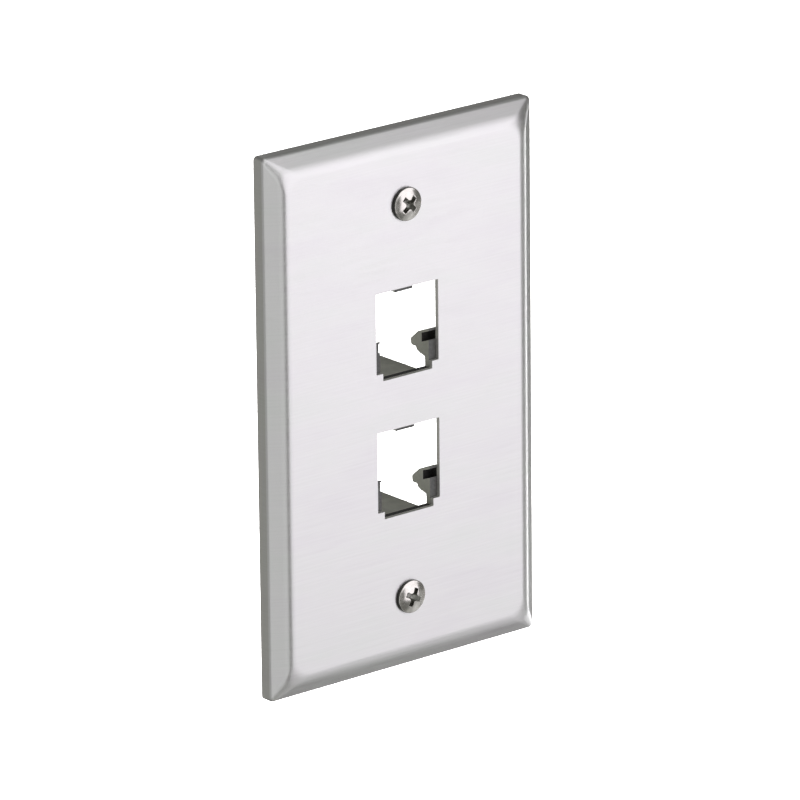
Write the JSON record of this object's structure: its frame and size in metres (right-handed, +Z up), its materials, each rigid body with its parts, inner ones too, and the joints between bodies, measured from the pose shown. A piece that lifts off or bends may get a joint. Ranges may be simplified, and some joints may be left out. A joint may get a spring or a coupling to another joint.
{
  "type": "modular jack wall plate",
  "caption": "Brushed stainless steel wall plate with a bevelled edge, open snap-in ports for modular jacks, brackets behind the ports and captive cross-recess mounting screws.",
  "frame": {"origin": "centre of the plate in the plane of the wall that its rim stands on", "axes": "+Z up along the plate's long side, +Y into the wall, so the plate faces -Y, and +X to the plate's right as seen from the room"},
  "size_m": [0.0698, 0.0267, 0.1142],
  "materials": {
    "brushed_stainless": "satin, brushed across the width",
    "bracket_metal": "dull grey cast zinc",
    "screw_nickel": "nickel-plated, semi-bright",
    "retainer_fibre": "vulcanised fibre, matte"
  },
  "bodies": {
    "plate": {"faceplate": "brushed_stainless", "upper_port_bracket": "bracket_metal", "lower_port_bracket": "bracket_metal"},
    "upper_retainer": {"upper_screw_retainer": "retainer_fibre"},
    "upper_screw": {"upper_mounting_screw": "screw_nickel"},
    "lower_retainer": {"lower_screw_retainer": "retainer_fibre"},
    "lower_screw": {"lower_mounting_screw": "screw_nickel"}
  },
  "joints": [
    {"name": "upper_screw_travel", "type": "slide", "parent": "plate", "child": "upper_retainer", "axis": [0, -1, 0], "range_m": [0, 0.00873]},
    {"name": "upper_screw_turn", "type": "hinge", "parent": "upper_retainer", "child": "upper_screw", "pos_m": [0, 0, 0.04167], "axis": [0, -1, 0], "range_deg": [0, 3960]},
    {"name": "lower_screw_travel", "type": "slide", "parent": "plate", "child": "lower_retainer", "axis": [0, -1, 0], "range_m": [0, 0.00873]},
    {"name": "lower_screw_turn", "type": "hinge", "parent": "lower_retainer", "child": "lower_screw", "pos_m": [0, 0, -0.04167], "axis": [0, -1, 0], "range_deg": [0, 3960]}
  ],
  "couplings": [
    {"joint": "upper_screw_turn", "follows": "upper_screw_travel", "rad_per_m": 7915.8},
    {"joint": "lower_screw_turn", "follows": "lower_screw_travel", "rad_per_m": 7915.8}
  ]
}
